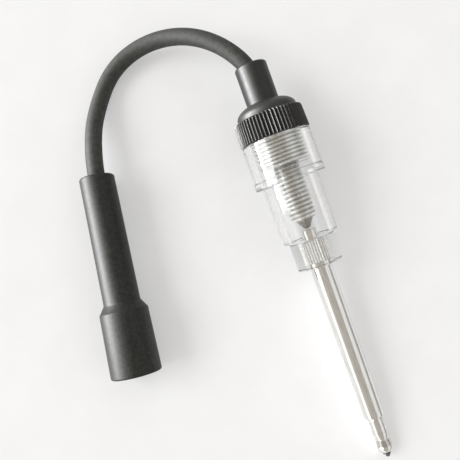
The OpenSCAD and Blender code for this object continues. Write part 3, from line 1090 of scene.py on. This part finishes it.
@dataclass
class LeadEnd:
    """Sleeve on the cap, high-tension lead and plug boot.

    The loop's points are (distance past the sleeve's mouth, side, height), as in the part's source.
    """

    axis: Axis
    boot_axis: Axis
    flange_s: float = 143.4
    flange_len: float = 2.6
    sleeve_s: float = 168.4
    jacket_s: float = 146.8
    sleeve_r: float = 6.65
    flange_r: float = 8.7
    barrel_hole: float = 1.95
    lead_hole: float = 3.7
    flare_r: float = 5.4
    flare_len: float = 9.0
    lip: float = 1.0
    lead_r: float = 3.5
    lead_length: float = 162.0
    lead_rings: int = 220
    lead_columns: int = 40
    straight_len: float = 17.0
    boot_len: float = 81.0
    boot_jacket_u: float = 56.0
    boot_sharp: float = 45.0
    mouth_r: float = 10.15
    wide_r: float = 9.75
    wide_len: float = 26.0
    shoulder_len: float = 2.4
    shoulder_turn: float = 55.0
    neck_r: float = 7.35
    neck_fillet: float = 0.1
    neck_fillet_share: float = 0.4
    top_r: float = 7.1
    mouth_bore_r: float = 7.0
    mouth_bore_len: float = 24.0
    grip_r: float = 5.0
    grip_len: float = 13.0
    pocket_r: float = 4.75
    terminal_end_u: float = 61.05
    edge: float = 0.4
    corner: float = 0.8
    seat: float = 0.05
    loop: tuple[Place, ...] = (
        (0.0, 1.5, 19.5),
        (6.0, 4.4, 19.6),
        (12.0, 8.6, 18.8),
        (17.8, 14.2, 17.0),
        (22.6, 20.8, 14.2),
        (25.8, 28.0, 11.0),
        (27.2, 35.6, 8.0),
        (26.6, 43.2, 5.6),
        (24.0, 50.2, 4.2),
        (19.6, 56.2, 3.6),
        (13.8, 61.0, 4.0),
        (7.5, 64.9, 5.4),
        (0.7, 68.1, 7.3),
        (-6.3, 70.4, 9.0),
        (-13.3, 72.2, 9.9),
    )

    def sleeve(self) -> bpy.types.Object:
        """Turns the sleeve: flange, straight barrel, rounded lip and flared mouth.

        Returns:
            The piece.
        """
        low = self.flange_s
        top = low + self.flange_len
        profile = outline(
            [[self.barrel_hole, low], [self.flange_r, low], [self.flange_r, top]],
            [[self.sleeve_r, top]],
            top_edge(self.sleeve_r, self.sleeve_s, self.lip, steps=8),
            [[self.flare_r, self.sleeve_s], [self.lead_hole, self.sleeve_s - self.flare_len]],
            [[self.lead_hole, self.jacket_s], [self.barrel_hole, self.jacket_s]],
        )
        return grid_mesh("lead_sleeve", self.axis.lathe(profile), ring=True)

    def boot(self) -> bpy.types.Object:
        """Turns the boot: wide mouth, sloping shoulder, narrow neck, and its stepped bore.

        Returns:
            The piece.
        """
        shoulder = self.wide_len + self.shoulder_len
        fillet = shoulder + self.neck_fillet_share * self.lip
        bore_end = self.mouth_bore_len + self.grip_len
        mouth_end = self.mouth_bore_len - self.lip
        profile = outline(
            [[self.mouth_bore_r + self.edge, 0]],
            low_edge(self.mouth_r, 0, self.corner),
            top_edge(self.wide_r, self.wide_len, self.corner, end=self.shoulder_turn),
            [[self.neck_r + self.edge, shoulder], [self.neck_r + self.neck_fillet, fillet]],
            [[self.neck_r, shoulder + self.lip]],
            top_edge(self.top_r, self.boot_len, self.lip, steps=8),
            [[self.lead_hole, self.boot_len], [self.lead_hole, self.terminal_end_u]],
            [[self.pocket_r, self.terminal_end_u], [self.pocket_r, bore_end]],
            [[self.grip_r, bore_end], [self.grip_r, self.mouth_bore_len]],
            [[self.mouth_bore_r, mouth_end], [self.mouth_bore_r, self.edge]],
        )
        points = self.boot_axis.lathe(profile)
        return grid_mesh("plug_boot_moulded", points, ring=True, sharp=self.boot_sharp)

    def free_loop(self) -> np.ndarray:
        """Returns the points of the lead's free loop, in metres."""
        mouth = self.axis.point(self.sleeve_s)
        return np.array(self.loop) * MM + [mouth[0], 0.0, 0.0]

    def route(self) -> np.ndarray:
        """Lists the lead's chosen points, through the sleeve, round the loop and into the boot.

        Returns:
            Rows of row-frame points, in metres.
        """
        sleeve_run = (self.straight_len, self.straight_len / 2)
        into_sleeve = (self.jacket_s + self.seat, *(self.sleeve_s - run for run in sleeve_run))
        middle = (self.boot_len + self.boot_jacket_u) / 2
        into_boot = (self.boot_len - self.lip, middle, self.boot_jacket_u)
        start = np.array([self.axis.point(s) for s in into_sleeve])
        end = np.array([self.boot_axis.point(u) for u in into_boot])
        return np.vstack([start, self.free_loop(), end])

    def lead(self) -> tuple[bpy.types.Object, np.ndarray]:
        """Sweeps a circle along the lead's route.

        The centreline is the natural cubic spline through the route by its chord length. A ring's
        points are centre + radius * (cos * side + sin * up), with side level and square to the
        centreline.

        Returns:
            The lead and its ring centres.
        """
        centre = smooth_line(self.route(), self.lead_rings)
        along = unit(np.gradient(centre, axis=0))
        side = unit(np.cross(UP, along))
        up = np.cross(along, side)
        angle = even_angles(self.lead_columns)[None, :, None]
        across = np.cos(angle) * side[:, None, :] + np.sin(angle) * up[:, None, :]
        rings = centre[:, None, :] + self.lead_r * MM * across
        ends = np.broadcast_to(centre[[0, -1], None, :], (2, self.lead_columns, 3))
        points = np.concatenate([ends[:1], rings, ends[1:]])
        return grid_mesh("high_tension_lead", points), centre

    def build(self, shop: Workshop) -> None:
        """Args:
            shop: The workshop that finishes its pieces.
        """
        lead, centre = self.lead()
        boot = self.boot()
        shop.fit(lead, LEAD_RUBBER, Body.LEAD_END, "lead")
        shop.fit(boot, BOOT_RUBBER, Body.LEAD_END, "plug_boot")
        shop.fit(self.sleeve(), SLEEVE_RUBBER, Body.LEAD_END, "cap_sleeve")
        shop.refinish("swivel_contact", BRASS)
        shop.refinish("lead_wire", COPPER)
        shop.refinish("boot_terminal", BRASS)
        shop.refinish("snap_ring", SPRING)
        mouth = self.free_loop()[0]


class Seen(Enum):
    """Surfaces that show a lamp, with the kinds of ray that it is hidden from."""

    GLOSSY = ("visible_camera", "visible_diffuse", "visible_transmission")
    MATT = ("visible_camera", "visible_glossy", "visible_transmission")


@dataclass(frozen=True)
class Softbox:
    """A soft rectangular lamp.

    Attributes:
        name: Name of the lamp.
        toward: Direction from the object to the lamp.
        size: Width and height in metres.
        power: Power in watts.
        seen: Surfaces that show it.
    """

    name: str
    toward: Place
    size: tuple[float, float]
    power: float
    seen: Seen


def aim(thing: bpy.types.Object, place: Place, target: Place, up: Place) -> None:
    """Puts a lamp or camera at a place and turns it to a target.

    Args:
        thing: The lamp or camera.
        place: Where it stands, in metres.
        target: The point that it looks at.
        up: Direction that is up in its view.
    """
    ahead = (Vector(target) - Vector(place)).normalized()
    right = ahead.cross(Vector(up)).normalized()
    turned = Matrix((right, right.cross(ahead), -ahead)).transposed().to_4x4()
    thing.matrix_world = Matrix.Translation(place) @ turned


@dataclass
class Studio:
    """White table, daylight from the image's left, a duller ceiling, and the camera above.

    The image's right is about -Y of the row frame and its top about +X.

    Attributes:
        camera_at: Place of the camera, in metres.
        camera_aim: Point of the table that it looks at.
        image_up: Direction that is up in the image.
        lens: Focal length in millimetres.
        sensor: Width of the sensor in millimetres.
        clip_near: Least distance that the camera sees, in metres.
        lamps: The lamps: two windows for glossy surfaces, and daylight for matt ones.
        lamp_distance: Distance of the lamps in metres.
        lamp_aim: Point that the lamps look at.
        table_size: Length of the table's sides in metres.
        sky: Stops of (lateral angle in degrees, colour). 0 is overhead, 90 the left horizon and
            -90 the right one.
        paper: Finish of the table.
    """

    camera_at: Place = (0.0073, 0.04395, 0.23064)
    camera_aim: Place = (0.02526, 0.02905, 0.0)
    image_up: Place = (0.93954, -0.34243, 0.0)
    lens: float = 42.53
    sensor: float = 36.0
    clip_near: float = 0.01
    lamps: tuple[Softbox, ...] = (
        Softbox(
            "low_window", toward=(0.42, 1.0, 0.16), size=(3.2, 0.6), power=350.0, seen=Seen.GLOSSY
        ),
        Softbox(
            "high_window", toward=(0.42, 1.0, 0.6), size=(3.2, 1.6), power=115.0, seen=Seen.GLOSSY
        ),
        Softbox(
            "daylight", toward=(0.34, 0.94, 0.78), size=(2.0, 1.4), power=52.0, seen=Seen.MATT
        ),
    )
    lamp_distance: float = 3.0
    lamp_aim: Place = (0.0, 0.03, 0.0)
    table_size: float = 8.0
    sky: tuple[tuple[float, Colour], ...] = (
        (-180.0, WHITE),
        (-91.0, WHITE),
        (-89.0, (0.28, 0.275, 0.265)),
        (-80.0, (0.4, 0.39, 0.375)),
        (-66.0, (0.5, 0.49, 0.47)),
        (-60.0, (0.9, 0.9, 0.9)),
        (-27.0, (0.9, 0.9, 0.9)),
        (-22.0, (0.49, 0.455, 0.405)),
        (44.0, (0.53, 0.495, 0.445)),
        (56.0, (0.74, 0.725, 0.7)),
        (64.0, (1.6, 1.6, 1.6)),
        (75.0, (1.6, 1.6, 1.6)),
        (81.0, (1.3, 1.3, 1.3)),
        (86.0, WHITE),
        (180.0, WHITE),
    )
    paper: Paper = Paper(
        "white_paper", dark=(0.91, 0.915, 0.925), light=(0.93, 0.935, 0.945), patch=20.0, glow=0.35
    )

    def table(self) -> None:
        """Lays the white table, which isn't part of the object."""
        corners = np.array([[-1, -1, 0], [1, -1, 0], [1, 1, 0], [-1, 1, 0]]) * self.table_size / 2
        mesh = bpy.data.meshes.new("table")
        mesh.from_pydata(corners, [], [[0, 1, 2, 3]])
        mesh.materials.append(self.paper.material())
        table = bpy.data.objects.new("table", mesh)
        bpy.context.scene.collection.objects.link(table)

    def hang(self, softbox: Softbox) -> None:
        """Hangs a lamp and turns it to the object.

        Args:
            softbox: The lamp.
        """
        light = bpy.data.lights.new(softbox.name, "AREA")
        light.shape = "RECTANGLE"
        light.size, light.size_y = softbox.size
        light.energy = softbox.power
        lamp = bpy.data.objects.new(softbox.name, light)
        bpy.context.scene.collection.objects.link(lamp)
        for ray in softbox.seen.value:
            setattr(lamp, ray, False)
        reach = Vector(softbox.toward).normalized() * self.lamp_distance
        aim(lamp, Vector(self.lamp_aim) + reach, self.lamp_aim, UP)

    def paint_sky(self) -> None:
        """Paints the sky by its lateral angle, the arctangent of a direction's Y over its Z."""
        world = bpy.data.worlds.new("sky")
        world.use_nodes = True
        bpy.context.scene.world = world
        nodes = Nodes(world.node_tree)
        direction = nodes.node("ShaderNodeTexCoord").outputs["Generated"]
        part = nodes.node("ShaderNodeSeparateXYZ", {"Vector": direction}).outputs
        angle = nodes.calculate("ARCTAN2", part["Y"], part["Z"])
        limits = {"Value": angle, "From Min": -math.pi, "From Max": math.pi}
        share = nodes.node("ShaderNodeMapRange", limits).outputs["Result"]
        ramp = nodes.node("ShaderNodeValToRGB", {"Fac": share})
        stops = ramp.color_ramp.elements
        ready = len(stops)
        for count, (degrees, colour) in enumerate(self.sky):
            stop = stops[count] if count < ready else stops.new(1.0)
            stop.position = 0.5 + degrees / 360
            stop.color = (*colour, 1.0)
        glow = nodes.node("ShaderNodeBackground", {"Color": ramp.outputs["Color"]})
        nodes.node("ShaderNodeOutputWorld", {"Surface": glow.outputs[0]})

    def photograph(self) -> None:
        """Adds the camera at the photograph's angle."""
        lens = bpy.data.cameras.new("camera")
        lens.lens = self.lens
        lens.sensor_width = self.sensor
        lens.clip_start = self.clip_near
        camera = bpy.data.objects.new("camera", lens)
        bpy.context.scene.collection.objects.link(camera)
        aim(camera, self.camera_at, self.camera_aim, self.image_up)
        bpy.context.scene.camera = camera
        bpy.context.scene.view_settings.view_transform = "Standard"

    def build(self) -> None:
        """Builds the studio."""
        self.table()
        for softbox in self.lamps:
            self.hang(softbox)
        self.paint_sky()
        self.photograph()
        LOG.info("studio is set")


def tester_axis() -> Axis:
    """Returns the tester's axis, which the cap turns on, from the record's joint."""
    turn = next(j for j in frame["joints"] if j["name"] == "cap_turn")
    return Axis.through(turn["pos_m"], turn["axis"], Cap.ring_s)


def boot_axis() -> Axis:
    """Returns the boot's axis from the record's mount in its mouth."""
    mount = next(m for m in frame["record"]["mounts"] if m["name"] == "boot_mouth")
    return Axis.through(mount["pos_m"], -np.asarray(mount["axis"]), BOOT_MOUNT_U)


def main() -> None:
    """Builds the studio and every sub-assembly."""
    logging.basicConfig(level=logging.INFO, format="%(name)s: %(message)s")
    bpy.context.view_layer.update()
    Studio().build()
    shop = Workshop()
    axis = tester_axis()
    LeadEnd(axis, boot_axis()).build(shop)
    Cap(axis).build(shop)
    Barrel(axis).build(shop)
    Probe(axis).build(shop)


if __name__ == "__main__":
    main()
